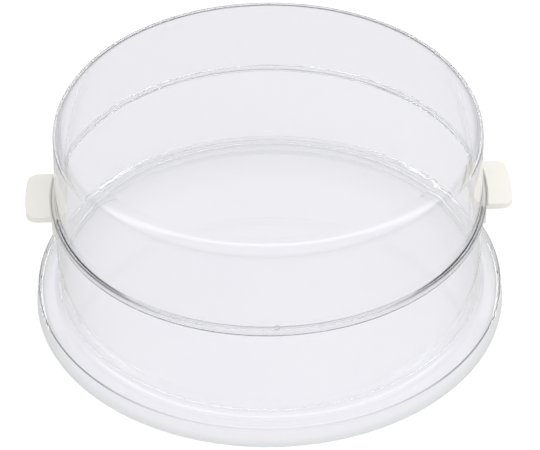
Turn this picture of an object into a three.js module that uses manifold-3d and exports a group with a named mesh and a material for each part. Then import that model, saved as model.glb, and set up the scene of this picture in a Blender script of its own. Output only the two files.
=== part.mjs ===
// Cake keeper: a clear round tub on a wide foot, a clear cover that lifts off, and two
// cream ears that sit astride the tub's rim. Millimetres, +Z up, origin on the table under
// the middle, ears along X.
import * as THREE from 'three';
import { mergeVertices } from 'three/addons/utils/BufferGeometryUtils.js';
import Module from 'manifold-3d';

const wasm = await Module();
wasm.setup();

// Shared fits
const seatClearance = 0.3; // between faces that touch
const slideClearance = 0.6; // round the ears, where the cover drops into place
const cutOverrun = 4; // how far a cutting solid runs past what it cuts
const weldDistance = 0.0001; // vertices closer than this are one

// Foot and floor of the tub
const ledgeWidth = 14.4; // from the wall's foot out to the foot's top edge
const footFlare = 1.4; // how much wider the foot is on the table
const footHeight = 15.2; // table to the top of the floor
const footWall = 2.2;
const floorThickness = 2.4;
const rimRound = 2.4;
const footInsideRound = 3;
const footEdgeRound = 0.5;

// Wall of the tub
const tubRadius = 147.7; // at the rim
const tubDraft = 1.2; // how much wider the wall is at its foot
const tubWall = 2;
const tubHeight = 87; // table to the rim
const tubFootFillet = 5;
const tubFloorFillet = 4;
const tubRimRound = 0.5;

// Flange and skirt of the cover, which hang over the tub's rim
const flangeThickness = 2;
const skirtWall = 1.95;
const skirtDrop = 5.4; // flange top to the skirt's lower edge
const flangeRound = 0.6;
const skirtEdgeRound = 0.4;

// Dome of the cover
const coverRise = 62.6; // flange top to the flat top
const coverWall = 2;
const coverStepIn = 0.6; // the cover's wall stands this far inside the tub's
const coverDraft = 1.5; // how much narrower the wall is at the shoulder
const shoulderRadius = 12;
const coverFootFillet = 0.8;

// Small lug on the flange, midway between the ears
const lugWidth = 3;
const lugRise = 1.4;
const lugSetBack = 0.7; // from the flange's edge

// Ears
const earWidth = 49;
const earReach = 16.7; // from the flange's edge outwards
const earThickness = 5;
const earCornerRadius = 8;
const earEdgeRound = 0.7;
const legSetIn = 4; // from the grip's side to the leg's
const outerLegWall = 2;
const innerLegWall = 3.8;
const outerLegDrop = 15.6; // below the grip's underside
const innerLegDrop = 12;
const gripSkin = 2.2; // plastic left above the pockets cored out of the grip's underside
const pocketWall = 2;
const pocketCount = 3;
const pocketCornerRadius = 1.5;

// How finely round forms are cut into facets
const roundFacets = 96;
const cornerFacets = 4;
const outlineFacets = 5;
const edgeFacets = 2;

// Places worked out from the sizes above
const tubFootRadius = tubRadius + tubDraft;
const rimRadius = tubFootRadius + ledgeWidth;
const footRadius = rimRadius + footFlare;
const flangeUnderside = tubHeight + seatClearance;
const flangeTop = flangeUnderside + flangeThickness;
const skirtBottom = flangeTop - skirtDrop;
const skirtInnerRadius = tubOutsideAt(skirtBottom) + seatClearance;
const flangeRadius = skirtInnerRadius + skirtWall;
const coverFootRadius = tubRadius - coverStepIn;
const coverShoulderRadius = coverFootRadius - coverDraft;
const coverTop = flangeTop + coverRise;
const gripBottom = flangeTop - earThickness;
const gripInnerRadius = flangeRadius + slideClearance;
const earTipRadius = gripInnerRadius + earReach;
const tubInnerRadius = tubRadius - tubWall;

// Clear and cream plastics
const clearPlastic = new THREE.MeshStandardMaterial({
  color: 0xeceaf2, roughness: 0.06, metalness: 0, transparent: true, opacity: 0.28,
});
const creamPlastic = new THREE.MeshStandardMaterial({
  color: 0xf0eee4, roughness: 0.42, metalness: 0,
});

// Outside radius of the tub's drafted wall at a height between its foot and its rim.
function tubOutsideAt(height) {
  return THREE.MathUtils.mapLinear(
    height,
    footHeight + tubFootFillet,
    tubHeight - tubRimRound,
    tubFootRadius,
    tubRadius,
  );
}

// Points of a round corner in a profile, from one angle in degrees to another.
function roundCorner(centreRadius, centreHeight, radius, fromDegrees, toDegrees) {
  const points = [];
  for (let step = 0; step <= cornerFacets; step += 1) {
    const turn = THREE.MathUtils.degToRad(
      THREE.MathUtils.lerp(fromDegrees, toDegrees, step / cornerFacets),
    );
    points.push(new THREE.Vector2(
      centreRadius + radius * Math.cos(turn),
      centreHeight + radius * Math.sin(turn),
    ));
  }
  return points;
}

// One closed solid from a geometry: shared vertices merged, triangles of no area left out.
function solidOf(geometry) {
  geometry.deleteAttribute('normal');
  geometry.deleteAttribute('uv');
  const welded = mergeVertices(geometry, weldDistance);
  const index = welded.index.array;
  const triangles = [];
  for (let k = 0; k < index.length; k += 3) {
    const [a, b, c] = [index[k], index[k + 1], index[k + 2]];
    if (a !== b && b !== c && c !== a) triangles.push(a, b, c);
  }
  return new wasm.Manifold(new wasm.Mesh({
    numProp: 3,
    vertProperties: new Float32Array(welded.attributes.position.array),
    triVerts: new Uint32Array(triangles),
  }));
}

// A profile of radius and height turned about Z. It runs anticlockwise round its section.
function revolve(profile) {
  const geometry = new THREE.LatheGeometry(profile, roundFacets);
  geometry.rotateX(Math.PI / 2);
  return solidOf(geometry);
}

// A flat outline raised from one height to another, with an optional round along its edges.
function raise(outline, fromHeight, toHeight, edgeRound = 0) {
  const geometry = new THREE.ExtrudeGeometry(outline, {
    depth: toHeight - fromHeight - 2 * edgeRound,
    bevelEnabled: edgeRound > 0,
    bevelSize: edgeRound,
    bevelOffset: -edgeRound,
    bevelThickness: edgeRound,
    bevelSegments: edgeFacets,
    curveSegments: outlineFacets,
  });
  geometry.translate(0, 0, fromHeight + edgeRound);
  return solidOf(geometry);
}

// The named mesh of a finished solid.
function meshOf(name, solid, material) {
  const { vertProperties, triVerts } = solid.getMesh();
  const geometry = new THREE.BufferGeometry();
  geometry.setAttribute('position', new THREE.BufferAttribute(new Float32Array(vertProperties), 3));
  geometry.setIndex(new THREE.BufferAttribute(new Uint32Array(triVerts), 1));
  geometry.computeVertexNormals();
  const mesh = new THREE.Mesh(geometry, material);
  mesh.name = name;
  return mesh;
}

// Outline across the X axis between two radii about the middle, with straight sides and,
// where a corner radius is given, round outer corners.
function bandOutline(innerRadius, outerRadius, width, cornerRadius = 0) {
  const half = width / 2;
  const innerTurn = Math.asin(half / innerRadius);
  const cornerY = half - cornerRadius;
  const cornerX = Math.sqrt((outerRadius - cornerRadius) ** 2 - cornerY ** 2);
  const outerTurn = Math.atan2(cornerY, cornerX);
  const outline = new THREE.Shape();
  outline.moveTo(innerRadius * Math.cos(innerTurn), -half);
  outline.lineTo(cornerX, -half);
  if (cornerRadius > 0) outline.absarc(cornerX, -cornerY, cornerRadius, -Math.PI / 2, -outerTurn, false);
  outline.absarc(0, 0, outerRadius, -outerTurn, outerTurn, false);
  if (cornerRadius > 0) outline.absarc(cornerX, cornerY, cornerRadius, outerTurn, Math.PI / 2, false);
  outline.lineTo(innerRadius * Math.cos(innerTurn), half);
  outline.absarc(0, 0, innerRadius, innerTurn, -innerTurn, true);
  return outline;
}

// Half-way round: the same solid on the other side of the keeper.
function opposite(solid) {
  return solid.rotate([0, 0, 180]);
}

// Section of the tub: foot, floor and wall in one wall of plastic, from the axis under the
// floor, out and down the foot, back over the rim and up the wall.
function tubProfile() {
  const floorUnderside = footHeight - floorThickness;
  const footInner = footRadius - footWall;
  const roundInner = rimRadius - footWall - footInsideRound;
  const floorCorner = tubFootRadius - tubWall - tubFloorFillet;
  return [
    new THREE.Vector2(0, floorUnderside),
    ...roundCorner(roundInner, floorUnderside - footInsideRound, footInsideRound, 90, 0),
    new THREE.Vector2(footInner, 0),
    ...roundCorner(footRadius - footEdgeRound, footEdgeRound, footEdgeRound, -90, 0),
    ...roundCorner(rimRadius - rimRound, footHeight - rimRound, rimRound, 0, 90),
    ...roundCorner(tubFootRadius + tubFootFillet, footHeight + tubFootFillet, tubFootFillet, 270, 180),
    ...roundCorner(tubRadius - tubRimRound, tubHeight - tubRimRound, tubRimRound, 0, 90),
    new THREE.Vector2(tubInnerRadius, tubHeight),
    ...roundCorner(floorCorner, footHeight + tubFloorFillet, tubFloorFillet, 0, -90),
    new THREE.Vector2(0, footHeight),
  ];
}

// The tub, with a notch in its rim under each ear.
function makeTub() {
  const notchWidth = earWidth + 2 * seatClearance;
  const notchFloor = gripBottom - seatClearance;
  const notch = raise(
    bandOutline(tubInnerRadius - cutOverrun, tubRadius + cutOverrun, notchWidth),
    notchFloor,
    tubHeight + cutOverrun,
  );
  return revolve(tubProfile()).subtract(notch).subtract(opposite(notch));
}

// Section of the cover: flat top, round shoulder, wall with a slight draft, then the flange
// and the skirt that hangs outside the tub's rim.
function coverProfile() {
  const shoulderHeight = coverTop - shoulderRadius;
  const shoulderCentre = coverShoulderRadius - shoulderRadius;
  const innerFoot = coverFootRadius - coverWall;
  return [
    new THREE.Vector2(0, coverTop - coverWall),
    ...roundCorner(shoulderCentre, shoulderHeight, shoulderRadius - coverWall, 90, 0),
    new THREE.Vector2(innerFoot, flangeUnderside),
    new THREE.Vector2(skirtInnerRadius, flangeUnderside),
    new THREE.Vector2(skirtInnerRadius, skirtBottom),
    ...roundCorner(flangeRadius - skirtEdgeRound, skirtBottom + skirtEdgeRound, skirtEdgeRound, -90, 0),
    ...roundCorner(flangeRadius - flangeRound, flangeTop - flangeRound, flangeRound, 0, 90),
    ...roundCorner(coverFootRadius + coverFootFillet, flangeTop + coverFootFillet, coverFootFillet, 270, 180),
    ...roundCorner(shoulderCentre, shoulderHeight, shoulderRadius, 0, 90),
    new THREE.Vector2(0, coverTop),
  ];
}

// The cover, with the skirt cut away over each ear and a small lug midway between them.
function makeCover() {
  const gapWidth = earWidth + 2 * slideClearance;
  const gap = raise(
    bandOutline(tubInnerRadius - cutOverrun, flangeRadius + cutOverrun, gapWidth),
    skirtBottom - cutOverrun,
    flangeUnderside,
  );
  const lug = raise(
    bandOutline(coverFootRadius - coverWall / 2, flangeRadius - lugSetBack, lugWidth),
    flangeTop - flangeThickness / 2,
    flangeTop + lugRise,
  ).rotate([0, 0, -90]);
  return revolve(coverProfile()).subtract(gap).subtract(opposite(gap)).add(lug);
}

// Pockets that core out the grip from below, side by side with a rib between each two.
function gripPockets() {
  const span = earWidth - 2 * earCornerRadius;
  const pitch = span / pocketCount;
  const half = (pitch - pocketWall) / 2;
  const nearX = gripInnerRadius + pocketWall;
  const farX = Math.sqrt((earTipRadius - pocketWall) ** 2 - (span / 2) ** 2);
  const pockets = [];
  for (let k = 0; k < pocketCount; k += 1) {
    const middle = (k - (pocketCount - 1) / 2) * pitch;
    const low = middle - half + pocketCornerRadius;
    const high = middle + half - pocketCornerRadius;
    const left = nearX + pocketCornerRadius;
    const right = farX - pocketCornerRadius;
    const outline = new THREE.Shape();
    outline.absarc(right, high, pocketCornerRadius, 0, Math.PI / 2, false);
    outline.absarc(left, high, pocketCornerRadius, Math.PI / 2, Math.PI, false);
    outline.absarc(left, low, pocketCornerRadius, Math.PI, Math.PI * 1.5, false);
    outline.absarc(right, low, pocketCornerRadius, Math.PI * 1.5, Math.PI * 2, false);
    pockets.push(raise(outline, gripBottom - cutOverrun, flangeTop - gripSkin));
  }
  return pockets;
}

// An ear: a flat grip level with the flange, a tongue under the flange and through the
// notch, and two legs that stand astride the tub's wall.
function makeEar() {
  const legTop = (gripBottom + tubHeight) / 2;
  const legWidth = earWidth - 2 * legSetIn;
  const innerLegOuter = tubInnerRadius - seatClearance;
  const innerLegInner = innerLegOuter - innerLegWall;
  const outerLegInner = tubOutsideAt(gripBottom - outerLegDrop) + seatClearance;
  const grip = raise(
    bandOutline(gripInnerRadius, earTipRadius, earWidth, earCornerRadius),
    gripBottom,
    flangeTop,
    earEdgeRound,
  );
  const tongue = raise(
    bandOutline(innerLegInner, gripInnerRadius + pocketWall, earWidth),
    gripBottom,
    tubHeight,
  );
  const innerLeg = raise(
    bandOutline(innerLegInner, innerLegOuter, legWidth),
    gripBottom - innerLegDrop,
    legTop,
  );
  const outerLeg = raise(
    bandOutline(outerLegInner, outerLegInner + outerLegWall, legWidth),
    gripBottom - outerLegDrop,
    legTop,
  );
  let ear = grip.add(tongue).add(innerLeg).add(outerLeg);
  for (const pocket of gripPockets()) ear = ear.subtract(pocket);
  return ear;
}

const ear = makeEar();
const rightEar = meshOf('right_handle', ear, creamPlastic);
const leftEar = meshOf('left_handle', ear, creamPlastic);
leftEar.rotation.z = Math.PI;

const group = new THREE.Group();
group.add(
  meshOf('tub', makeTub(), clearPlastic),
  meshOf('cover', makeCover(), clearPlastic),
  leftEar,
  rightEar,
);

export default group;
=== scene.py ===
"""Clear cake keeper with cream ears, dressed on the frame of its CAD model.

Metres, +Z up, the table at z = 0, the ears on the X axis and the front towards -Y.
"""

import logging
import math
from dataclasses import dataclass, field, replace
from enum import Enum

import bpy
import numpy as np
from mathutils import Matrix, Vector


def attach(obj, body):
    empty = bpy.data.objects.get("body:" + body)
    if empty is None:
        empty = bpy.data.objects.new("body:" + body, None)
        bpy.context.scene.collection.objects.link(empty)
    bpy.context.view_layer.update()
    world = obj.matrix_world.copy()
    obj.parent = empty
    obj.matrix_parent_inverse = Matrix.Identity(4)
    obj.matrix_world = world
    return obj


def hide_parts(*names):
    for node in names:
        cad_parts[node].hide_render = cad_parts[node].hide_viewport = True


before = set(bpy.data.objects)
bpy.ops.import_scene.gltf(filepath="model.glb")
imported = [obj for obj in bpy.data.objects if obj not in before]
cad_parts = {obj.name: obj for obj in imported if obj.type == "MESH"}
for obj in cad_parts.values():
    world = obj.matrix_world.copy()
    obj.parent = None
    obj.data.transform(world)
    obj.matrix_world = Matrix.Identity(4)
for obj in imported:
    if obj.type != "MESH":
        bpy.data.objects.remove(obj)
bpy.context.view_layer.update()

LOG = logging.getLogger("cake_keeper")

MM = 0.001

Colour = tuple[float, float, float]
Socket = bpy.types.NodeSocket

# Blender's names for the two nodes of a new material.
SHADER = "Principled BSDF"
OUTPUT = "Material Output"

# Where the tub, the cover and the ears meet.
RIM_HEIGHT = 87.0 * MM
SEAT_CLEARANCE = 0.3 * MM
SLIDE_CLEARANCE = 0.6 * MM
FLANGE_UNDERSIDE = RIM_HEIGHT + SEAT_CLEARANCE
FLANGE_THICKNESS = 2.0 * MM
FLANGE_TOP = FLANGE_UNDERSIDE + FLANGE_THICKNESS
FLANGE_RADIUS = 150.0 * MM
TUB_RIM_RADIUS = 147.7 * MM
TUB_WALL = 2.0 * MM
EAR_WIDTH = 49.0 * MM
EAR_THICKNESS = 5.0 * MM
GRIP_BOTTOM = FLANGE_TOP - EAR_THICKNESS

# How finely a surface is divided, how narrow a strip keeps a flat face flat beside a
# round one, and how long a stretch has to be to get one.
TURN_COLUMNS = 960
ARC_STEPS = 10
RIM_STEPS = 5
CORNER_STEPS = 6
GRIP_EDGE_STEPS = 8
SHOULDER_INSIDE_STEPS = 20
SHOULDER_STEPS = 24
EDGE_STRIP = 0.12 * MM
LONG_STRETCH = 1.5 * MM

# Over how narrow a stretch a height jumps at the side of an opening, and how many halves
# of it keep the next column away.
STEP_WIDTH = 0.03 * MM
HALF_STEPS_CLEAR = 6


class Side(Enum):
    """The two sides that an ear sits on, by the sign of X."""

    LEFT = -1
    RIGHT = 1


@dataclass
class Shell:
    """Vertices and polygons of one closed surface, faces outwards.

    Args:
        vertices: array of shape (n, 3).
        corners: the vertex numbers of all polygons, one polygon after the other.
        sizes: the number of corners of each polygon.
    """

    vertices: np.ndarray
    corners: np.ndarray
    sizes: np.ndarray

    def turned_half(self) -> "Shell":
        """The same surface half a turn round Z: x and y change sign."""
        return replace(self, vertices=self.vertices * np.array([-1.0, -1.0, 1.0]))

    def turned_to_front(self) -> "Shell":
        """The same surface a quarter turn round Z: (x, y) becomes (y, -x)."""
        x, y, z = self.vertices.T
        return replace(self, vertices=np.stack([y, -x, z], axis=1))


def joined(shells: list[Shell]) -> Shell:
    """Several closed surfaces as one.

    Args:
        shells: the surfaces.

    Returns:
        A surface with the vertex numbers of each raised by the count before it.
    """
    starts = np.cumsum([0] + [len(shell.vertices) for shell in shells[:-1]])
    return Shell(
        np.concatenate([shell.vertices for shell in shells]),
        np.concatenate([shell.corners + start for shell, start in zip(shells, starts)]),
        np.concatenate([shell.sizes for shell in shells]),
    )


def arc(
    centre_radius: float,
    centre_height: float,
    radius: float,
    start: float,
    end: float,
    steps: int = ARC_STEPS,
) -> np.ndarray:
    """Points of a circular arc in the plane of radius and height.

    radius = centre radius + r cos(a) and height = centre height + r sin(a), for angles a
    evenly spread from start to end.

    Args:
        centre_radius: distance of the arc's centre from the Z axis.
        centre_height: height of the arc's centre.
        radius: the arc's own radius.
        start: first angle in degrees.
        end: last angle in degrees.
        steps: number of equal steps.

    Returns:
        Array of shape (steps + 1, 2).
    """
    turn = np.radians(np.linspace(start, end, steps + 1))
    return np.stack(
        [centre_radius + radius * np.cos(turn), centre_height + radius * np.sin(turn)],
        axis=1,
    )


def with_edge_strips(profile: np.ndarray) -> np.ndarray:
    """An open profile with an extra point close to each end of its long stretches.

    Each long stretch from a to b gets a + s (b - a) and b - s (b - a), where s is the
    strip's width over the stretch's length, so that smooth shading turns only inside the
    strip.

    Args:
        profile: array of shape (n, 2).

    Returns:
        Array of shape (m, 2), m at least n.
    """
    following = np.roll(profile, -1, axis=0)
    step = following - profile
    length = np.linalg.norm(step, axis=1)
    long_ones = length > LONG_STRETCH
    long_ones[-1] = False
    share = np.where(long_ones, EDGE_STRIP / np.maximum(length, EDGE_STRIP), 0.0)[:, None]
    near = profile + share * step
    far = following - share * step
    stacked = np.stack([profile, near, far], axis=1).reshape(-1, 2)
    keep = np.stack([np.ones_like(long_ones), long_ones, long_ones], axis=1).ravel()
    return stacked[keep]


def columns_with_openings(half_width: float, radius: float) -> tuple[np.ndarray, np.ndarray]:
    """Angles round Z for the columns of a surface with an opening for each ear.

    An opening reaches asin(half width / radius) to each side of the X axis. The angles are
    evenly spread, less those beside the side of an opening, and with a pair of them half a
    step's width to each side of it, where a height jumps.

    Args:
        half_width: half the width of an opening.
        radius: distance from the Z axis at which it has that width.

    Returns:
        Sorted angles in [0, 2 pi), and for each of them whether it lies in an opening.
    """
    circle = 2 * math.pi
    half_turn = math.asin(half_width / radius)
    sides = np.array([-half_turn, half_turn, math.pi - half_turn, math.pi + half_turn])
    sides = np.mod(sides, circle)
    half_step = STEP_WIDTH / FLANGE_RADIUS / 2
    even = np.arange(TURN_COLUMNS) * (circle / TURN_COLUMNS)
    away = np.abs(np.mod(even[:, None] - sides[None, :] + math.pi, circle) - math.pi)
    even = even[away.min(axis=1) > HALF_STEPS_CLEAR * half_step]
    pairs = np.concatenate([sides - half_step, sides + half_step])
    turns = np.sort(np.mod(np.concatenate([even, pairs]), circle))
    return turns, np.abs(np.sin(turns)) < math.sin(half_turn)


def revolved(radii: np.ndarray, heights: np.ndarray, turns: np.ndarray) -> Shell:
    """A profile from the axis back to the axis, turned round Z.

    The point of column i and profile place j is (r cos(t), r sin(t), h) with t the
    column's angle. The first and last places lie on the axis and become single poles.

    Args:
        radii: array of shape (columns, places).
        heights: array of shape (columns, places).
        turns: array of shape (columns,).

    Returns:
        The closed surface, faces outwards when the profile runs anticlockwise.
    """
    columns, places = radii.shape
    x = radii * np.cos(turns)[:, None]
    y = radii * np.sin(turns)[:, None]
    grid = np.stack([x, y, heights], axis=2)[:, 1:-1].reshape(-1, 3)
    poles = np.array([[0.0, 0.0, heights[0, 0]], [0.0, 0.0, heights[0, -1]]])
    rows = places - 2
    column = np.arange(columns)[:, None]
    following = np.mod(column + 1, columns)
    row = np.arange(rows - 1)[None, :]
    quads = np.stack(
        [
            column * rows + row,
            following * rows + row,
            following * rows + row + 1,
            column * rows + row + 1,
        ],
        axis=2,
    ).reshape(-1, 4)
    first = columns * rows
    column, following = column.ravel(), following.ravel()
    start_fan = np.stack([np.full(columns, first), following * rows, column * rows], axis=1)
    end_fan = np.stack(
        [column * rows + rows - 1, following * rows + rows - 1, np.full(columns, first + 1)],
        axis=1,
    )
    return Shell(
        np.concatenate([grid, poles]),
        np.concatenate([quads.ravel(), start_fan.ravel(), end_fan.ravel()]),
        np.repeat([4, 3, 3], [len(quads), columns, columns]),
    )


def ringed(rings: np.ndarray, heights: np.ndarray) -> Shell:
    """A stack of matching closed outlines, the first and last closed with flat caps.

    The point of ring j and place i is (x, y) of the outline at height j.

    Args:
        rings: array of shape (rings, places, 2), each outline anticlockwise.
        heights: array of shape (rings,).

    Returns:
        The closed surface, with the first cap downwards and the last one upwards.
    """
    count, places, _ = rings.shape
    level = np.broadcast_to(heights[:, None, None], (count, places, 1))
    vertices = np.concatenate([rings, level], axis=2).reshape(-1, 3)
    ring = np.arange(count - 1)[:, None]
    place = np.arange(places)[None, :]
    following = np.mod(place + 1, places)
    quads = np.stack(
        [
            ring * places + place,
            ring * places + following,
            (ring + 1) * places + following,
            (ring + 1) * places + place,
        ],
        axis=2,
    ).reshape(-1, 4)
    first_cap = np.arange(places)[::-1]
    last_cap = (count - 1) * places + np.arange(places)
    corners = np.concatenate([quads.ravel(), first_cap, last_cap])
    return Shell(vertices, corners, np.repeat([4, places], [len(quads), 2]))


@dataclass
class Band:
    """An outline across the X axis between two circles about the Z axis, its sides straight
    and its corners round.

    Args:
        inner_radius: radius of the near edge.
        outer_radius: radius of the far edge.
        width: from side to side.
        inner_corner: radius of the near corners.
        outer_corner: radius of the far corners.
        aside: how far the outline is moved along Y.
        least_corner: what is left of a corner when the outline moves inwards.
        corner_steps: steps round a corner.
        edge_steps: steps along the near and the far edge.
    """

    inner_radius: float
    outer_radius: float
    width: float
    inner_corner: float
    outer_corner: float
    aside: float = 0.0
    least_corner: float = 0.06 * MM
    corner_steps: int = 10
    edge_steps: int = 40

    def rings(self, insets: np.ndarray) -> np.ndarray:
        """The outline moved inwards by each of several distances.

        A corner of radius c beside the far circle R and the side h has its centre at
        y = h - c and x = sqrt((R - c)^2 - y^2), and beside the near circle r at
        x = sqrt((r + c)^2 - y^2). Moving inwards by d takes d off R, h and c and adds it
        to r.

        Args:
            insets: distances, array of shape (n,).

        Returns:
            Array of shape (n, places, 2), anticlockwise.
        """
        near = np.maximum(self.inner_corner - insets, self.least_corner)
        far = np.maximum(self.outer_corner - insets, self.least_corner)
        inner = self.inner_radius + insets
        outer = self.outer_radius - insets
        half = self.width / 2 - insets
        near_y, far_y = half - near, half - far
        near_x = np.sqrt((inner + near) ** 2 - near_y**2)
        far_x = np.sqrt((outer - far) ** 2 - far_y**2)
        near_turn = np.arctan2(near_y, near_x)
        far_turn = np.arctan2(far_y, far_x)
        right = np.full_like(half, math.pi / 2)
        nothing = np.zeros_like(half)
        stretches = [
            (near_x, -near_y, near, math.pi - near_turn, 3 * right, self.corner_steps, False),
            (far_x, -far_y, far, -right, -far_turn, self.corner_steps, False),
            (nothing, nothing, outer, -far_turn, far_turn, self.edge_steps, True),
            (far_x, far_y, far, far_turn, right, self.corner_steps, False),
            (near_x, near_y, near, right, math.pi + near_turn, self.corner_steps, False),
            (nothing, nothing, inner, near_turn, -near_turn, self.edge_steps, True),
        ]
        outline = np.concatenate([self._stretch(*stretch) for stretch in stretches], axis=1)
        return outline + np.array([0.0, self.aside])

    @staticmethod
    def _stretch(
        centre_x: np.ndarray,
        centre_y: np.ndarray,
        radius: np.ndarray,
        start: np.ndarray,
        end: np.ndarray,
        steps: int,
        inside_only: bool,
    ) -> np.ndarray:
        """One arc of every ring: centre + radius (cos a, sin a), a from start to end.

        Args:
            centre_x: arc centres, one for each ring.
            centre_y: arc centres, one for each ring.
            radius: arc radii.
            start: first angles.
            end: last angles.
            steps: number of equal steps.
            inside_only: True leaves both end points out.

        Returns:
            Array of shape (rings, points, 2).
        """
        share = np.linspace(0.0, 1.0, steps + 1)
        if inside_only:
            share = share[1:-1]
        turn = start[:, None] + (end - start)[:, None] * share[None, :]
        return np.stack(
            [
                centre_x[:, None] + radius[:, None] * np.cos(turn),
                centre_y[:, None] + radius[:, None] * np.sin(turn),
            ],
            axis=2,
        )


def side_section(
    low: float,
    high: float,
    lower_edge: float,
    upper_edge: float,
    lower_steps: int,
    upper_steps: int,
) -> np.ndarray:
    """Inset and height up the side of a raised band, with a round along each edge.

    On a round of radius e the inset is e - e cos(a). A narrow strip goes before the lower
    one and after the upper one.

    Args:
        low: height of the underside.
        high: height of the top.
        lower_edge: radius of the lower round.
        upper_edge: radius of the upper round.
        lower_steps: steps of the lower round.
        upper_steps: steps of the upper round.

    Returns:
        Array of shape (n, 2).
    """
    lower = arc(0.0, low + lower_edge, lower_edge, -90, 0, lower_steps)
    lower[:, 0] = lower_edge - lower[:, 0]
    upper = arc(0.0, high - upper_edge, upper_edge, 0, 90, upper_steps)
    upper[:, 0] = upper_edge - upper[:, 0]
    first = [[lower_edge + EDGE_STRIP, low]]
    last = [[upper_edge + EDGE_STRIP, high]]
    return np.concatenate([first, lower, upper, last])


def raised(outline: Band, low: float, high: float, edge: float) -> Shell:
    """A band raised from one height to another with round edges.

    Args:
        outline: the band.
        low: height of the underside.
        high: height of the top.
        edge: radius of the rounds along the lower and upper edges.

    Returns:
        The closed surface.
    """
    section = side_section(low, high, edge, edge, RIM_STEPS, CORNER_STEPS)
    section = with_edge_strips(section)
    return ringed(outline.rings(section[:, 0]), section[:, 1])


def placed(name: str, shell: Shell, material: bpy.types.Material) -> bpy.types.Object:
    """A named object at the origin with its place in its mesh, shaded smooth.

    Args:
        name: the object's name.
        shell: its surface.
        material: its finish.

    Returns:
        The object, linked to the scene.
    """
    mesh = bpy.data.meshes.new(name)
    mesh.vertices.add(len(shell.vertices))
    mesh.vertices.foreach_set("co", shell.vertices.ravel())
    mesh.loops.add(len(shell.corners))
    mesh.loops.foreach_set("vertex_index", shell.corners)
    mesh.polygons.add(len(shell.sizes))
    mesh.polygons.foreach_set("loop_start", np.cumsum(shell.sizes) - shell.sizes)
    mesh.polygons.foreach_set("use_smooth", np.ones(len(shell.sizes), dtype=bool))
    mesh.materials.append(material)
    mesh.update(calc_edges=True)
    thing = bpy.data.objects.new(name, mesh)
    bpy.context.scene.collection.objects.link(thing)
    return thing


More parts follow.
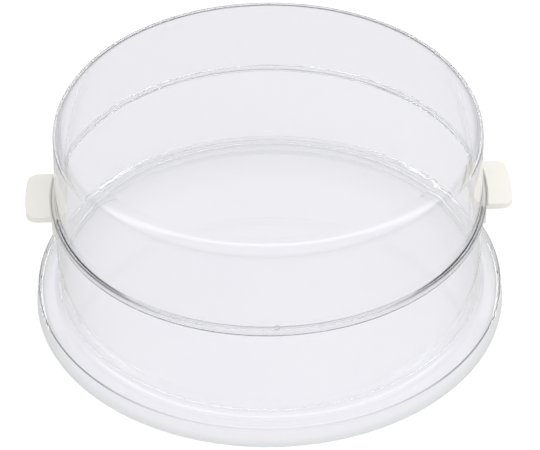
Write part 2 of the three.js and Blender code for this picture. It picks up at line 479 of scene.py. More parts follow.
@dataclass(frozen=True)
class Graph:
    """The nodes of a material or of the world.

    Args:
        nodes: the nodes.
        links: the links between them.
    """

    nodes: bpy.types.Nodes
    links: bpy.types.NodeLinks

    def own_place(self) -> Socket:
        """Where a point lies in the piece's own coordinates."""
        return self.nodes.new("ShaderNodeTexCoord").outputs["Object"]

    def noise(self, scale: float, detail: float) -> Socket:
        """Noise on the piece's own coordinates.

        Args:
            scale: cells to the metre.
            detail: octaves.

        Returns:
            The output socket that gives it.
        """
        pattern = self.nodes.new("ShaderNodeTexNoise")
        pattern.inputs["Scale"].default_value = scale
        pattern.inputs["Detail"].default_value = detail
        self.links.new(self.own_place(), pattern.inputs["Vector"])
        return pattern.outputs["Fac"]

    def polish(self, pattern: Socket, smoothest: float, roughest: float) -> None:
        """Lets a pattern vary the material's roughness.

        Args:
            pattern: gives the pattern.
            smoothest: roughness where the pattern is 0.
            roughest: roughness where it is 1.
        """
        gloss = self.nodes.new("ShaderNodeMapRange")
        gloss.inputs["To Min"].default_value = smoothest
        gloss.inputs["To Max"].default_value = roughest
        self.links.new(pattern, gloss.inputs["Value"])
        self.links.new(gloss.outputs["Result"], self.nodes[SHADER].inputs["Roughness"])

    def relief(self, pattern: Socket, height: float) -> None:
        """Raises a pattern on the material's surface.

        Args:
            pattern: gives the pattern.
            height: from its lowest to its highest.
        """
        bump = self.nodes.new("ShaderNodeBump")
        bump.inputs["Strength"].default_value = 1.0
        bump.inputs["Distance"].default_value = height
        self.links.new(pattern, bump.inputs["Height"])
        self.links.new(bump.outputs["Normal"], self.nodes[SHADER].inputs["Normal"])

    def share_of(self, value: Socket, steps: tuple[float, float]) -> Socket:
        """A share that passes smoothly from 0 to 1 as a value goes from step to step.

        Args:
            value: gives the value.
            steps: where the share is 0 and where it is 1.

        Returns:
            The output socket that gives the share.
        """
        share = self.nodes.new("ShaderNodeMapRange")
        share.interpolation_type = "SMOOTHSTEP"
        share.inputs["From Min"].default_value = steps[0]
        share.inputs["From Max"].default_value = steps[1]
        self.links.new(value, share.inputs["Value"])
        return share.outputs["Result"]

    def number(self, operation: str, first: Socket, second: Socket | float = 0.0) -> Socket:
        """A number worked out from one or two others.

        Args:
            operation: what is done, in Blender's word.
            first: gives the first number.
            second: the second number, or the socket that gives it.

        Returns:
            The output socket that gives the result.
        """
        working = self.nodes.new("ShaderNodeMath")
        working.operation = operation
        self.links.new(first, working.inputs[0])
        if isinstance(second, float):
            working.inputs[1].default_value = second
        else:
            self.links.new(second, working.inputs[1])
        return working.outputs["Value"]

    def vector(
        self,
        operation: str,
        first: Socket,
        second: tuple[float, float, float] = (0.0, 0.0, 0.0),
    ) -> bpy.types.NodeOutputs:
        """A vector or a length worked out from one or two vectors.

        Args:
            operation: what is done, in Blender's word.
            first: gives the first vector.
            second: the second vector.

        Returns:
            The outputs, "Vector" and "Value".
        """
        working = self.nodes.new("ShaderNodeVectorMath")
        working.operation = operation
        self.links.new(first, working.inputs[0])
        working.inputs[1].default_value = second
        return working.outputs

    def mixed(self, share: Socket, first: Colour | Socket, last: Colour | Socket) -> Socket:
        """A colour between two: first (1 - share) + last share.

        Args:
            share: gives the share of the last colour.
            first: the first colour, or the socket that gives it.
            last: the same of the last one.

        Returns:
            The output socket that gives the colour.
        """
        mix = self.nodes.new("ShaderNodeMix")
        mix.data_type = "RGBA"
        self.links.new(share, mix.inputs["Factor"])
        for name, colour in (("A", first), ("B", last)):
            if isinstance(colour, tuple):
                mix.inputs[name].default_value = (*colour, 1.0)
            else:
                self.links.new(colour, mix.inputs[name])
        return mix.outputs["Result"]

    def by_ray(
        self, on_matt: Colour, mirrored: Socket, through: Socket, to_eye: Colour
    ) -> Socket:
        """One colour for each kind of ray.

        Args:
            on_matt: what lights a matt surface.
            mirrored: what a reflection shows.
            through: what shows through clear plastic.
            to_eye: what the camera sees.

        Returns:
            The output socket that gives the colour.
        """
        ray = self.nodes.new("ShaderNodeLightPath").outputs
        colour = self.mixed(ray["Is Glossy Ray"], on_matt, mirrored)
        colour = self.mixed(ray["Is Transmission Ray"], colour, through)
        return self.mixed(ray["Is Camera Ray"], colour, to_eye)


def new_material(name: str) -> tuple[bpy.types.Material, Graph]:
    """A material with Blender's own shader and output nodes.

    Args:
        name: the material's name.

    Returns:
        The material and its graph.
    """
    material = bpy.data.materials.new(name)
    material.use_nodes = True
    return material, Graph(material.node_tree.nodes, material.node_tree.links)


@dataclass(frozen=True)
class PaintedShadeEdge:
    """A circle round the Z axis along a moulded edge, where shade is painted into the clear
    plastic's tint.

    Args:
        radius: of the edge.
        height: of the edge.
        reach: how far from it the dark fades out.
        front: how deep the painted shade is at the front.
        side: the same at the sides.
        back: the same at the back.
    """

    radius: float
    height: float
    reach: float
    front: float
    side: float
    back: float


@dataclass(frozen=True)
class ClearPlastic:
    """Clear moulded plastic: nearly colourless, polished, with a faint ripple, and shade
    painted along some moulded edges.

    Args:
        name: the material's name.
        light: the paler of two tints.
        dark: the deeper of two tints.
        absorption: what long ways through the plastic turn to.
        density: how quickly they do, per metre.
        ior: how strongly it bends light.
        edges: the moulded edges along which shade is painted into the tint.
        painted_edge_shade: the colour of the painted shade that the tint turns to there.
        sides: shares of the way from front to back between which the painted shade at an edge
            is as deep as at the sides.
        back: the share from which it is as deep as at the back.
        coat_ior: how strongly the surface mirrors.
        coat_roughness: how blurred it mirrors.
        smoothest: roughness where the plastic is clearest.
        roughest: roughness where it is dullest.
        lamp_share: what it lets through of the light on other pieces.
        patch_scale: cells to the metre in the patches of tint and gloss.
        patch_detail: their octaves.
        ripple_scale: cells to the metre in the ripple.
        ripple_detail: its octaves.
        ripple_height: its height.
    """

    name: str
    light: Colour = (1.0, 1.0, 1.0)
    dark: Colour = (0.985, 0.984, 0.99)
    absorption: Colour = (0.50, 0.52, 0.49)
    density: float = 20.0
    ior: float = 1.15
    edges: tuple[PaintedShadeEdge, ...] = ()
    # Painted shade: the near-black colour that the tint turns to along the edges.
    painted_edge_shade: Colour = (0.04, 0.042, 0.045)
    sides: tuple[float, float] = (0.15, 0.5)
    back: float = 0.7
    coat_ior: float = 1.5
    coat_roughness: float = 0.03
    smoothest: float = 0.0
    roughest: float = 0.02
    lamp_share: Colour = (0.95, 0.95, 0.955)
    patch_scale: float = 9.0
    patch_detail: float = 2.0
    ripple_scale: float = 26.0
    ripple_detail: float = 1.0
    ripple_height: float = 0.015 * MM

    def material(self) -> bpy.types.Material:
        """The shader: a transmitting body, its tint, gloss and ripple from soft noise, and
        shade painted into the tint along the edges.

        Lamp light and light between matt pieces passes straight through.

        Returns:
            The material.
        """
        material, graph = new_material(self.name)
        nodes, links = graph.nodes, graph.links
        shader, output = nodes[SHADER], nodes[OUTPUT]
        shader.inputs["Transmission Weight"].default_value = 1.0
        shader.inputs["IOR"].default_value = self.ior
        shader.inputs["Coat Weight"].default_value = 1.0
        shader.inputs["Coat IOR"].default_value = self.coat_ior
        shader.inputs["Coat Roughness"].default_value = self.coat_roughness
        patches = graph.noise(self.patch_scale, self.patch_detail)
        # The tint, with painted shade along the edges.
        tint = self.with_painted_edge_shade(graph, graph.mixed(patches, self.dark, self.light))
        links.new(tint, shader.inputs["Base Color"])
        graph.polish(patches, self.smoothest, self.roughest)
        graph.relief(graph.noise(self.ripple_scale, self.ripple_detail), self.ripple_height)
        body = nodes.new("ShaderNodeVolumeAbsorption")
        body.inputs["Color"].default_value = (*self.absorption, 1.0)
        body.inputs["Density"].default_value = self.density
        links.new(body.outputs["Volume"], output.inputs["Volume"])
        ray = nodes.new("ShaderNodeLightPath").outputs
        through = nodes.new("ShaderNodeBsdfTransparent")
        through.inputs["Color"].default_value = (*self.lamp_share, 1.0)
        surface = shader.outputs["BSDF"]
        for kind in ("Is Shadow Ray", "Is Diffuse Ray"):
            either = nodes.new("ShaderNodeMixShader")
            links.new(ray[kind], either.inputs["Fac"])
            links.new(surface, either.inputs[1])
            links.new(through.outputs["BSDF"], either.inputs[2])
            surface = either.outputs["Shader"]
        links.new(surface, output.inputs["Surface"])
        return material

    def with_painted_edge_shade(self, graph: Graph, plain: Socket) -> Socket:
        """The tint with shade painted over it along the edges.

        An edge is a circle round Z. Its share falls smoothly with the distance from the
        circle, sqrt((sqrt(x^2 + y^2) - radius)^2 + (z - height)^2).

        Args:
            graph: the material's graph.
            plain: the tint without the painted shade.

        Returns:
            The output socket that gives the tint.
        """
        nodes, links = graph.nodes, graph.links
        place = graph.own_place()
        split = nodes.new("ShaderNodeSeparateXYZ")
        links.new(place, split.inputs["Vector"])
        level = graph.vector("MULTIPLY", place, (1.0, 1.0, 0.0))["Vector"]
        section = nodes.new("ShaderNodeCombineXYZ")
        links.new(graph.vector("LENGTH", level)["Value"], section.inputs["X"])
        links.new(split.outputs["Z"], section.inputs["Z"])
        tint = plain
        for edge in self.edges:
            circle = (edge.radius, 0.0, edge.height)
            off = graph.vector("DISTANCE", section.outputs["Vector"], circle)["Value"]
            near = graph.share_of(off, (edge.reach, 0.0))
            turn = nodes.new("ShaderNodeMapRange")
            turn.inputs["From Min"].default_value = -edge.radius
            turn.inputs["From Max"].default_value = edge.radius
            links.new(split.outputs["Y"], turn.inputs["Value"])
            # How deep the painted shade is at the front, the sides and the back.
            depth = nodes.new("ShaderNodeValToRGB")
            stops = depth.color_ramp.elements
            stops[0].color = (*[edge.front] * 3, 1.0)
            stops[1].color = (*[edge.back] * 3, 1.0)
            stops[1].position = self.back
            for position in self.sides:
                stops.new(position).color = (*[edge.side] * 3, 1.0)
            links.new(turn.outputs["Result"], depth.inputs["Fac"])
            # Painted shade: the tint darkens towards the shade colour near each edge.
            share = graph.number("MULTIPLY", near, depth.outputs["Color"])
            tint = graph.mixed(share, tint, self.painted_edge_shade)
        return tint


@dataclass(frozen=True)
class CreamPlastic:
    """Satin cream plastic with a fine moulded grain.

    Args:
        name: the material's name.
        light: the paler of two creams.
        dark: the deeper of two creams.
        ior: how strongly it mirrors.
        smoothest: roughness where it shines most.
        roughest: roughness where it shines least.
        cloud_scale: cells to the metre in the clouds of colour and gloss.
        cloud_detail: their octaves.
        grain_scale: cells to the metre in the grain.
        grain_detail: its octaves.
        grain_height: its height.
    """

    name: str
    light: Colour = (0.86, 0.845, 0.79)
    dark: Colour = (0.83, 0.812, 0.752)
    ior: float = 1.49
    smoothest: float = 0.36
    roughest: float = 0.48
    cloud_scale: float = 60.0
    cloud_detail: float = 4.0
    grain_scale: float = 1600.0
    grain_detail: float = 2.0
    grain_height: float = 0.02 * MM

    def material(self) -> bpy.types.Material:
        """The shader: an opaque body, its colour, gloss and grain from noise.

        Returns:
            The material.
        """
        material, graph = new_material(self.name)
        shader = graph.nodes[SHADER]
        shader.inputs["IOR"].default_value = self.ior
        clouds = graph.noise(self.cloud_scale, self.cloud_detail)
        colour = graph.mixed(clouds, self.dark, self.light)
        graph.links.new(colour, shader.inputs["Base Color"])
        graph.polish(clouds, self.smoothest, self.roughest)
        graph.relief(graph.noise(self.grain_scale, self.grain_detail), self.grain_height)
        return material


@dataclass
class Tub:
    """The clear lower part: a wide foot, a floor and a wall in one moulding, with a notch
    in the rim for each ear.

    Args:
        wall: thickness of the wall.
        rim_radius: outside radius at the rim.
        draft: how much wider the wall is at its foot.
        floor_height: height of the floor's top, level with the ledge.
        floor_thickness: of the floor.
        ledge_radius: outside radius of the foot at the ledge.
        foot_radius: outside radius of the foot on the table.
        foot_wall: thickness of the foot's side.
        ledge_round: radius of the ledge's outer round.
        foot_inside_round: radius of the round under it.
        foot_edge_round: radius of the rounds on the table.
        foot_fillet: radius between ledge and wall.
        floor_fillet: radius between floor and wall.
        rim_round: radius of the rim's two rounds.
        finish: of the whole tub, with shade painted along the ledge's outer edge.
    """

    wall: float = TUB_WALL
    rim_radius: float = TUB_RIM_RADIUS
    draft: float = 1.2 * MM
    floor_height: float = 15.2 * MM
    floor_thickness: float = 2.4 * MM
    ledge_radius: float = 163.3 * MM
    foot_radius: float = 164.7 * MM
    foot_wall: float = 2.2 * MM
    ledge_round: float = 2.4 * MM
    foot_inside_round: float = 3.0 * MM
    foot_edge_round: float = 0.5 * MM
    foot_fillet: float = 5.0 * MM
    floor_fillet: float = 4.0 * MM
    rim_round: float = 0.5 * MM
    finish: ClearPlastic = field(
        default_factory=lambda: ClearPlastic(
            "clear tub",
            edges=(
                # Painted shade along the ledge's outer round, full at the sides, faint at the
                # front and back.
                PaintedShadeEdge(
                    radius=162.6 * MM,
                    height=14.5 * MM,
                    reach=1.0 * MM,
                    front=0.15,
                    side=1.0,
                    back=0.2,
                ),
            ),
        )
    )

    def profile(self) -> np.ndarray:
        """Radius and height from the axis under the floor, round the foot, up the wall,
        over the rim and back along the floor.

        Returns:
            Array of shape (n, 2).
        """
        under = self.floor_height - self.floor_thickness
        foot_inner = self.foot_radius - self.foot_wall
        ledge_inner = self.ledge_radius - self.foot_wall - self.foot_inside_round
        wall_foot = self.rim_radius + self.draft
        wall_foot_inner = wall_foot - self.wall
        rim_inner = self.rim_radius - self.wall
        inside, edge, ledge = self.foot_inside_round, self.foot_edge_round, self.ledge_round
        fillet, hollow, rim = self.foot_fillet, self.floor_fillet, self.rim_round
        top, rim_level = self.floor_height, RIM_HEIGHT - rim
        points = np.concatenate(
            [
                [[0.0, under]],
                arc(ledge_inner, under - inside, inside, 90, 0),
                arc(foot_inner + edge, edge, edge, 180, 270, RIM_STEPS),
                arc(self.foot_radius - edge, edge, edge, -90, 0, RIM_STEPS),
                arc(self.ledge_radius - ledge, top - ledge, ledge, 0, 90),
                arc(wall_foot + fillet, top + fillet, fillet, 270, 180),
                arc(self.rim_radius - rim, rim_level, rim, 0, 90, RIM_STEPS),
                arc(rim_inner + rim, rim_level, rim, 90, 180, RIM_STEPS),
                arc(wall_foot_inner - hollow, top + hollow, hollow, 0, -90),
                [[0.0, top]],
            ]
        )
        return with_edge_strips(points)

    def shell(self) -> Shell:
        """The profile turned round Z, its rim let down at the two notches.

        The height of every point near the rim is the profile's less the notch's depth
        where the column lies inside a notch.

        Returns:
            The closed surface.
        """
        depth = RIM_HEIGHT - (GRIP_BOTTOM - SEAT_CLEARANCE)
        turns, in_notch = columns_with_openings(
            EAR_WIDTH / 2 + SEAT_CLEARANCE, self.rim_radius - self.wall
        )
        profile = self.profile()
        near_rim = profile[:, 1] > RIM_HEIGHT - 2 * self.rim_round
        radii = np.broadcast_to(profile[:, 0], (len(turns), len(profile)))
        heights = profile[None, :, 1] - depth * (in_notch[:, None] & near_rim[None, :])
        return revolved(radii, heights, turns)

    def build(self) -> bpy.types.Object:
        """Builds the tub, rides it on the lower body and lets it stand for its node.

        Returns:
            The tub.
        """
        tub = placed("tub_clear", self.shell(), self.finish.material())
        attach(tub, "lower")
        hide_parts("tub")
        return tub


@dataclass
class Cover:
    """The clear upper part: flat top, round shoulder, drafted wall, flange and a skirt that
    is cut away over the ears, with a small lug on the flange at the front.

    Args:
        wall: thickness of wall and top.
        foot_radius: outside radius of the wall at the flange.
        draft: how much narrower it is at the shoulder.
        rise: height of the top over the flange.
        shoulder: outside radius of the shoulder's round.
        foot_fillet: radius between flange and wall.
        skirt_wall: thickness of the skirt.
        skirt_drop: how far it hangs below the flange's top.
        flange_round: radius of the flange's outer round.
        skirt_round: radius of the rounds along the skirt's edge.
        lug_width: of the lug, round the flange.
        lug_rise: height of the lug over the flange.
        lug_set_back: distance of the lug from the flange's edge.
        lug_root: how deep it is sunk into the flange.
        lug_edge: radius of its edges and near corners.
        lug_corner: radius of its far corners.
        finish: of the whole cover, with shade painted along the flange's edges.
    """

    wall: float = 2.0 * MM
    foot_radius: float = 147.1 * MM
    draft: float = 1.5 * MM
    rise: float = 62.6 * MM
    shoulder: float = 12.0 * MM
    foot_fillet: float = 0.8 * MM
    skirt_wall: float = 1.95 * MM
    skirt_drop: float = 5.4 * MM
    flange_round: float = 0.6 * MM
    skirt_round: float = 0.4 * MM
    lug_width: float = 3.0 * MM
    lug_rise: float = 1.4 * MM
    lug_set_back: float = 0.7 * MM
    lug_root: float = 1.0 * MM
    lug_edge: float = 0.3 * MM
    lug_corner: float = 0.5 * MM
    finish: ClearPlastic = field(
        default_factory=lambda: ClearPlastic(
            "clear cover",
            density=30.0,
            ior=1.29,
            edges=(
                # Painted shade where the wall meets the flange, mostly at the front.
                PaintedShadeEdge(
                    radius=147.3 * MM,
                    height=FLANGE_TOP + 0.2 * MM,
                    reach=0.7 * MM,
                    front=0.75,
                    side=0.05,
                    back=0.05,
                ),
                # Painted shade along the flange's outer round, at the sides only.
                PaintedShadeEdge(
                    radius=149.7 * MM,
                    height=FLANGE_TOP - 0.5 * MM,
                    reach=1.6 * MM,
                    front=0.0,
                    side=1.0,
                    back=0.0,
                ),
                # Painted shade along the skirt's lower edge, at the front and the sides.
                PaintedShadeEdge(
                    radius=149.9 * MM,
                    height=FLANGE_TOP - 5.1 * MM,
                    reach=1.3 * MM,
                    front=0.9,
                    side=1.0,
                    back=0.0,
                ),
            ),
        )
    )

    def profile(self) -> np.ndarray:
        """Radius and height from the axis under the top, down the inside, round the skirt
        and flange, up the wall and over the shoulder to the axis.

        Returns:
            Array of shape (n, 2).
        """
        top = FLANGE_TOP + self.rise
        shoulder_centre = self.foot_radius - self.draft - self.shoulder
        shoulder_height = top - self.shoulder
        skirt_inner = FLANGE_RADIUS - self.skirt_wall
        edge, flange, fillet = self.skirt_round, self.flange_round, self.foot_fillet
        edge_height = FLANGE_TOP - self.skirt_drop + edge
        foot, hollow = self.foot_radius, self.shoulder - self.wall
        points = np.concatenate(
            [
                [[0.0, top - self.wall]],
                arc(shoulder_centre, shoulder_height, hollow, 90, 0, SHOULDER_INSIDE_STEPS),
                [[foot - self.wall, FLANGE_UNDERSIDE]],
                [[skirt_inner, FLANGE_UNDERSIDE]],
                arc(skirt_inner + edge, edge_height, edge, 180, 270, RIM_STEPS),
                arc(FLANGE_RADIUS - edge, edge_height, edge, -90, 0, RIM_STEPS),
                arc(FLANGE_RADIUS - flange, FLANGE_TOP - flange, flange, 0, 90, CORNER_STEPS),
                arc(foot + fillet, FLANGE_TOP + fillet, fillet, 270, 180, CORNER_STEPS),
                arc(shoulder_centre, shoulder_height, self.shoulder, 0, 90, SHOULDER_STEPS),
                [[0.0, top]],
            ]
        )
        return with_edge_strips(points)

    def shell(self) -> Shell:
        """The profile turned round Z, its skirt drawn up to the flange over the ears.

        Inside a gap every point under the flange's underside is set to a hair below it, at
        a height that still falls with the profile's own, so that no face loses its area.

        Returns:
            The closed surface.
        """
        turns, in_gap = columns_with_openings(
            EAR_WIDTH / 2 + SLIDE_CLEARANCE, FLANGE_RADIUS - self.skirt_wall
        )
        profile = self.profile()
        below = np.minimum(profile[:, 1] - FLANGE_UNDERSIDE, 0.0)
        drawn_up = FLANGE_UNDERSIDE + below * (STEP_WIDTH / self.skirt_drop)
        lifted = in_gap[:, None] & (below < 0.0)[None, :]
        radii = np.broadcast_to(profile[:, 0], (len(turns), len(profile)))
        heights = np.where(lifted, drawn_up[None, :], profile[None, :, 1])
        return revolved(radii, heights, turns)

    def lug(self) -> Shell:
        """The small upright lug in the corner of flange and wall, at the front.

        Returns:
            The closed surface.
        """
        outline = Band(
            self.foot_radius - self.wall / 2,
            FLANGE_RADIUS - self.lug_set_back,
            self.lug_width,
            self.lug_edge,
            self.lug_corner,
        )
        low, high = FLANGE_TOP - self.lug_root, FLANGE_TOP + self.lug_rise
        return raised(outline, low, high, self.lug_edge).turned_to_front()

    def build(self) -> bpy.types.Object:
        """Builds the cover, rides it on the upper body and lets it stand for its node.

        Returns:
            The cover.
        """
        material = self.finish.material()
        cover = placed("cover_clear", joined([self.shell(), self.lug()]), material)
        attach(cover, "upper")
        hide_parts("cover")
        return cover


@dataclass
class Ear:
    """A cream ear: a grip level with the flange, a tongue under the flange and through the
    notch in the rim, and two legs that stand astride the tub's wall.

    Args:
        side: which of the two it is.
        inner_radius: where the grip begins, just outside the flange.
        reach: how far the grip stands out from there.
        corner: radius of the grip's outer corners.
        inner_corner: the same of its inner corners.
        edge: radius of its upper edge.
        small_edge: radius of its lower edge and of the edges of tongue and legs.
        skin: thickness of the grip over the pockets.
        pocket_wall: thickness round the pockets and of the ribs between them.
        pocket_corner: radius of the pockets' corners.
        pocket_mouth: chamfer at the pockets' mouths.
        pocket_count: number of pockets.
        rib_corner: radius of the ribs' corners.
        rib_edge: radius of their edges, and how far they end above the grip's underside.
        leg_set_in: how far the legs end from the ear's sides.
        outer_leg: thickness of the leg outside the wall.
        inner_leg: thickness of the leg inside it.
        outer_corner: radius of the outer leg's corners.
        leg_corner: radius of the inner leg's corners.
        outer_drop: how far the outer leg hangs below the grip.
        inner_drop: how far the inner leg does.
        tongue_corner: radius of the tongue's corners inside the tub.
        tongue_root_corner: radius of its corners under the grip.
        tongue_lift: how far it lies above the grip's underside.
    """

    side: Side
    inner_radius: float = FLANGE_RADIUS + SLIDE_CLEARANCE
    reach: float = 16.7 * MM
    corner: float = 8.0 * MM
    inner_corner: float = 0.8 * MM
    edge: float = 0.7 * MM
    small_edge: float = 0.4 * MM
    skin: float = 2.2 * MM
    pocket_wall: float = 2.0 * MM
    pocket_corner: float = 1.5 * MM
    pocket_mouth: float = 0.3 * MM
    pocket_count: int = 3
    rib_corner: float = 0.2 * MM
    rib_edge: float = 0.1 * MM
    leg_set_in: float = 4.0 * MM
    outer_leg: float = 2.0 * MM
    inner_leg: float = 3.8 * MM
    outer_corner: float = 0.8 * MM
    leg_corner: float = 1.2 * MM
    outer_drop: float = 15.6 * MM
    inner_drop: float = 12.0 * MM
    tongue_corner: float = 2.5 * MM
    tongue_root_corner: float = 0.3 * MM
    tongue_lift: float = 0.05 * MM

    def grip(self) -> list[Shell]:
        """The flat grip, hollow underneath, and the ribs between its pockets.

        The rings of the pocket, from its roof down, go over into those of the grip, from
        its underside up, so both are one surface.

        Returns:
            The grip and the ribs.
        """
        tip = self.inner_radius + self.reach
        body = Band(self.inner_radius, tip, EAR_WIDTH, self.inner_corner, self.corner)
        span = EAR_WIDTH - 2 * self.corner
        far = math.sqrt((tip - self.pocket_wall) ** 2 - (span / 2) ** 2)
        pocket = Band(
            self.inner_radius + self.pocket_wall,
            far,
            span - self.pocket_wall,
            self.pocket_corner,
            self.pocket_corner,
        )
        roof = FLANGE_TOP - self.skin
        mouth = self.pocket_mouth
        pocket_section = np.array(
            [
                [EDGE_STRIP, roof],
                [0.0, roof],
                [0.0, roof - EDGE_STRIP],
                [0.0, GRIP_BOTTOM + mouth],
                [-mouth, GRIP_BOTTOM],
            ]
        )
        body_section = side_section(
            GRIP_BOTTOM, FLANGE_TOP, self.small_edge, self.edge, CORNER_STEPS, GRIP_EDGE_STEPS
        )
        rings = np.concatenate(
            [pocket.rings(pocket_section[:, 0]), body.rings(body_section[:, 0])]
        )
        heights = np.concatenate([pocket_section[:, 1], body_section[:, 1]])
        pitch = span / self.pocket_count
        ribs = [
            raised(
                Band(
                    self.inner_radius + self.pocket_wall / 2,
                    far + self.pocket_wall / 4,
                    self.pocket_wall,
                    self.rib_corner,
                    self.rib_corner,
                    aside=(number - self.pocket_count / 2) * pitch,
                ),
                GRIP_BOTTOM + self.rib_edge,
                roof + self.skin / 2,
                self.rib_edge,
            )
            for number in range(1, self.pocket_count)
        ]
        return [ringed(rings, heights), *ribs]

    def legs(self) -> list[Shell]:
        """The tongue through the notch and the two legs astride the wall.

        Returns:
            The three closed surfaces.
        """
        leg_top = (GRIP_BOTTOM + RIM_HEIGHT) / 2
        leg_width = EAR_WIDTH - 2 * self.leg_set_in
        inner_out = TUB_RIM_RADIUS - TUB_WALL - SEAT_CLEARANCE
        inner_in = inner_out - self.inner_leg
        outer_in = TUB_RIM_RADIUS + 2 * SEAT_CLEARANCE
        outer_out = outer_in + self.outer_leg
        root = self.inner_radius + self.pocket_wall / 2
        bent, sharp = self.tongue_corner, self.tongue_root_corner
        tongue = Band(inner_in, root, EAR_WIDTH, bent, sharp)
        inner = Band(inner_in, inner_out, leg_width, self.leg_corner, self.leg_corner)
        outer = Band(outer_in, outer_out, leg_width, self.outer_corner, self.outer_corner)
        return [
            raised(tongue, GRIP_BOTTOM + self.tongue_lift, RIM_HEIGHT, self.small_edge),
            raised(inner, GRIP_BOTTOM - self.inner_drop, leg_top, self.small_edge),
            raised(outer, GRIP_BOTTOM - self.outer_drop, leg_top, self.small_edge),
        ]

    def build(self, material: bpy.types.Material) -> bpy.types.Object:
        """Builds the ear, rides it on the lower body and lets it stand for its node.

        Args:
            material: the cream finish, shared by both ears.

        Returns:
            The ear.
        """
        shell = joined(self.grip() + self.legs())
        if self.side is Side.LEFT:
            shell = shell.turned_half()
        word = self.side.name.lower()
        ear = placed(f"{word}_ear", shell, material)
        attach(ear, "lower")
        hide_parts(f"{word}_handle")
        return ear


@dataclass
class Studio:
    """A white floor and white surroundings, with a broad soft lamp overhead.

    Clear plastic shows the floor as pale and what lies low round the horizon as dark,
    which draws its outlines. What it mirrors is darker far off as well.

    Args:
        floor_half: half the floor's side.
        floor_drop: how far it lies below the foot.
        floor_albedo: the floor's own colour.
        floor_to_eye: what the floor adds to it for the camera.
        floor_on_matt: what it adds for the light on matt pieces.
        under_floor: what it adds under the keeper, seen through clear plastic.
        near_floor: the same round it.
        far_floor: the same far off.
        contact: the same in the shade under the edge of the foot.
        near_floor_mirrored: what it adds close by, in reflections.
        far_floor_mirrored: the same far off.
        near_steps: distances from the middle between which under turns to near.
        contact_steps: distances from the middle where that shade starts, is full, ends
            and is gone.
        far_steps: distances between which near turns to far.
        sky_on_matt: the light of the surroundings on matt pieces.
        sky_to_eye: what the camera sees of them.
        high_sky: what shows overhead through clear plastic.
        low_sky: the same at the horizon.
        high_sky_mirrored: what is mirrored from overhead.
        low_sky_mirrored: the same from the horizon.
        sky_steps: sine of the height where the low sky ends and where the high one starts.
        arch_mirrored: what is mirrored from an arch of light from left over to right.
        arch_forward: the y of directions along its middle.
        arch_half: how far from that it fades out.
        arch_steps: sine of the height where it starts and where it is full.
        lamp_height: height of the lamp.
        lamp_size: its sides.
        lamp_place: where it hangs, along X and Y.
        lamp_radiance: how bright it is.
    """

    floor_half: float = 3.0
    floor_drop: float = 0.3 * MM
    floor_albedo: float = 0.3
    floor_to_eye: Colour = (0.8, 0.8, 0.8)
    floor_on_matt: Colour = (0.65, 0.65, 0.65)
    under_floor: Colour = (0.70, 0.695, 0.74)
    near_floor: Colour = (0.61, 0.605, 0.65)
    far_floor: Colour = (0.56, 0.56, 0.58)
    contact: Colour = (0.48, 0.495, 0.485)
    near_floor_mirrored: Colour = (0.4, 0.4, 0.4)
    far_floor_mirrored: Colour = (0.0, 0.0, 0.0)
    near_steps: tuple[float, float] = (0.12, 0.16)
    contact_steps: tuple[float, float, float, float] = (0.155, 0.1638, 0.1640, 0.1650)
    far_steps: tuple[float, float] = (0.42, 0.8)
    sky_on_matt: Colour = (0.84, 0.84, 0.84)
    sky_to_eye: Colour = (1.0, 1.0, 1.0)
    high_sky: Colour = (0.84, 0.835, 0.87)
    low_sky: Colour = (0.12, 0.125, 0.12)
    high_sky_mirrored: Colour = (0.95, 0.95, 0.97)
    low_sky_mirrored: Colour = (0.35, 0.35, 0.35)
    sky_steps: tuple[float, float] = (0.1, 0.6)
    arch_mirrored: Colour = (3.1, 3.1, 3.1)
    arch_forward: float = -0.05
    arch_half: float = 0.3
    arch_steps: tuple[float, float] = (0.15, 0.5)
    lamp_height: float = 1.15
    lamp_size: tuple[float, float] = (1.2, 1.2)
    lamp_place: tuple[float, float] = (0.6, -0.3)
    lamp_radiance: float = 1.5

    def build(self) -> None:
        """Makes the floor, the lamp and the world."""
        self.floor()
        self.lamp()
        self.world()

    def floor(self) -> None:
        """A square floor a hair below the foot."""
        corners = np.array([[-1, -1], [1, -1], [1, 1], [-1, 1]]) * self.floor_half
        vertices = np.column_stack([corners, np.full(len(corners), -self.floor_drop)])
        material, graph = new_material("studio floor")
        nodes, links = graph.nodes, graph.links
        shader = nodes[SHADER]
        shader.inputs["Base Color"].default_value = (*[self.floor_albedo] * 3, 1.0)
        shader.inputs["Roughness"].default_value = 1.0
        shader.inputs["Specular IOR Level"].default_value = 0.0
        distance = graph.vector("LENGTH", graph.own_place())["Value"]
        near = graph.share_of(distance, self.near_steps)
        far = graph.share_of(distance, self.far_steps)
        through = graph.mixed(near, self.under_floor, self.near_floor)
        through = self.shaded(graph, distance, through)
        through = graph.mixed(far, through, self.far_floor)
        mirrored = graph.mixed(far, self.near_floor_mirrored, self.far_floor_mirrored)
        glow = graph.by_ray(self.floor_on_matt, mirrored, through, self.floor_to_eye)
        light = nodes.new("ShaderNodeEmission")
        links.new(glow, light.inputs["Color"])
        both = nodes.new("ShaderNodeAddShader")
        links.new(shader.outputs["BSDF"], both.inputs[0])
        links.new(light.outputs["Emission"], both.inputs[1])
        links.new(both.outputs["Shader"], nodes[OUTPUT].inputs["Surface"])
        square = Shell(vertices, np.arange(len(corners)), np.array([len(corners)]))
        placed("floor", square, material)

    def shaded(self, graph: Graph, distance: Socket, plain: Socket) -> Socket:
        """A floor colour with the shade under the edge of the foot.

        Args:
            graph: the floor material's graph.
            distance: distance from the middle.
            plain: the colour without the shade.

        Returns:
            The output socket of the colour with it.
        """
        starts, full, ends, gone = self.contact_steps
        risen = graph.share_of(distance, (starts, full))
        left = graph.share_of(distance, (gone, ends))
        return graph.mixed(graph.number("MULTIPLY", risen, left), plain, self.contact)

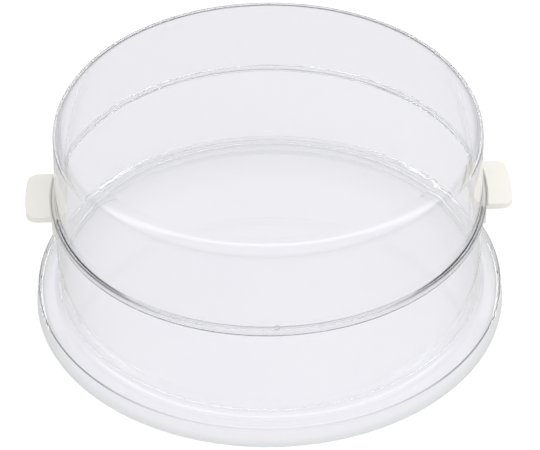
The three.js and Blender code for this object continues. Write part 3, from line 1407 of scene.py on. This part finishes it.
    def lamp(self) -> None:
        """A broad soft lamp overhead, its power from its radiance: P = pi A L."""
        light = bpy.data.lights.new("overhead", "AREA")
        light.shape = "RECTANGLE"
        light.size, light.size_y = self.lamp_size
        light.energy = self.lamp_radiance * math.pi * self.lamp_size[0] * self.lamp_size[1]
        lamp = bpy.data.objects.new("overhead", light)
        lamp.location = (*self.lamp_place, self.lamp_height)
        lamp.visible_camera = False
        lamp.visible_glossy = False
        lamp.visible_transmission = False
        bpy.context.scene.collection.objects.link(lamp)

    def world(self) -> None:
        """White to the eye, an even light on matt pieces, and for clear plastic a sky that
        brightens from the horizon upwards."""
        world = bpy.data.worlds.new("studio")
        world.use_nodes = True
        bpy.context.scene.world = world
        graph = Graph(world.node_tree.nodes, world.node_tree.links)
        nodes, links = graph.nodes, graph.links
        place = nodes.new("ShaderNodeTexCoord")
        direction = nodes.new("ShaderNodeSeparateXYZ")
        links.new(place.outputs["Generated"], direction.inputs["Vector"])
        up = graph.share_of(direction.outputs["Z"], self.sky_steps)
        through = graph.mixed(up, self.low_sky, self.high_sky)
        plain = graph.mixed(up, self.low_sky_mirrored, self.high_sky_mirrored)
        mirrored = self.arch(graph, direction, plain)
        colour = graph.by_ray(self.sky_on_matt, mirrored, through, self.sky_to_eye)
        links.new(colour, nodes["Background"].inputs["Color"])

    def arch(self, graph: Graph, direction: bpy.types.Node, plain: Socket) -> Socket:
        """A soft arch of light in a sky, from the left over the top to the right.

        Its share is smoothstep(1 - |y - forward| / half) times a smooth rise with height.

        Args:
            graph: the world's graph.
            direction: gives x, y and z of the direction.
            plain: the sky without it.

        Returns:
            The output socket of the sky with it.
        """
        off = graph.number("SUBTRACT", direction.outputs["Y"], self.arch_forward)
        across = graph.share_of(graph.number("ABSOLUTE", off), (self.arch_half, 0.0))
        up = graph.share_of(direction.outputs["Z"], self.arch_steps)
        return graph.mixed(graph.number("MULTIPLY", across, up), plain, self.arch_mirrored)


@dataclass
class Viewpoint:
    """The camera, where the photograph was taken from.

    Args:
        elevation: of the camera above the flange's level, in degrees.
        swing: how far it stands round to the left, in degrees.
        distance: from the middle of the flange's top.
        focal: focal length, in pixels of the picture.
        aim: where that middle lands, in pixels right of and below the picture's middle.
        picture_width: the picture's width in pixels.
        roll: clockwise, in degrees.
        sensor: width of the camera's sensor, in millimetres.
    """

    elevation: float = 37.39
    swing: float = 1.9
    distance: float = 1738.7 * MM
    focal: float = 2523.5
    aim: tuple[float, float] = (-1.36, -36.64)
    picture_width: float = 540.0
    roll: float = 0.57
    sensor: float = 36.0

    def build(self) -> None:
        """Places the camera and makes it the scene's.

        The view starts on the line to the flange's middle, and is turned by atan(offset /
        focal) to each side so that the middle lands where aim says, then rolled.
        """
        rise, swing = math.radians(self.elevation), math.radians(self.swing)
        back = Vector(
            (
                -math.sin(swing) * math.cos(rise),
                -math.cos(swing) * math.cos(rise),
                math.sin(rise),
            )
        )
        data = bpy.data.cameras.new("camera")
        data.sensor_width = self.sensor
        data.lens = self.focal / self.picture_width * self.sensor
        camera = bpy.data.objects.new("camera", data)
        pitch = math.atan(self.aim[1] / self.focal)
        yaw = math.atan(self.aim[0] / self.focal)
        facing = back.to_track_quat("Z", "Y").to_matrix().to_4x4()
        turned = (
            facing
            @ Matrix.Rotation(-math.radians(self.roll), 4, "Z")
            @ Matrix.Rotation(yaw, 4, "Y")
            @ Matrix.Rotation(pitch, 4, "X")
        )
        place = Vector((0.0, 0.0, FLANGE_TOP)) + back * self.distance
        camera.matrix_world = Matrix.Translation(place) @ turned
        bpy.context.scene.collection.objects.link(camera)
        bpy.context.scene.camera = camera


def report(piece: bpy.types.Object) -> None:
    """Logs a finished piece.

    Args:
        piece: the piece.
    """
    LOG.info("%s: %d faces", piece.name, len(piece.data.polygons))


def main() -> None:
    """Builds the keeper piece by piece, then the studio and the camera."""
    logging.basicConfig(level=logging.INFO, format="%(name)s: %(message)s")
    report(Tub().build())
    report(Cover().build())
    cream = CreamPlastic("cream plastic").material()
    for side in Side:
        report(Ear(side).build(cream))
    Studio().build()
    Viewpoint().build()
    bpy.context.scene.view_settings.view_transform = "Standard"


if __name__ == "__main__":
    main()
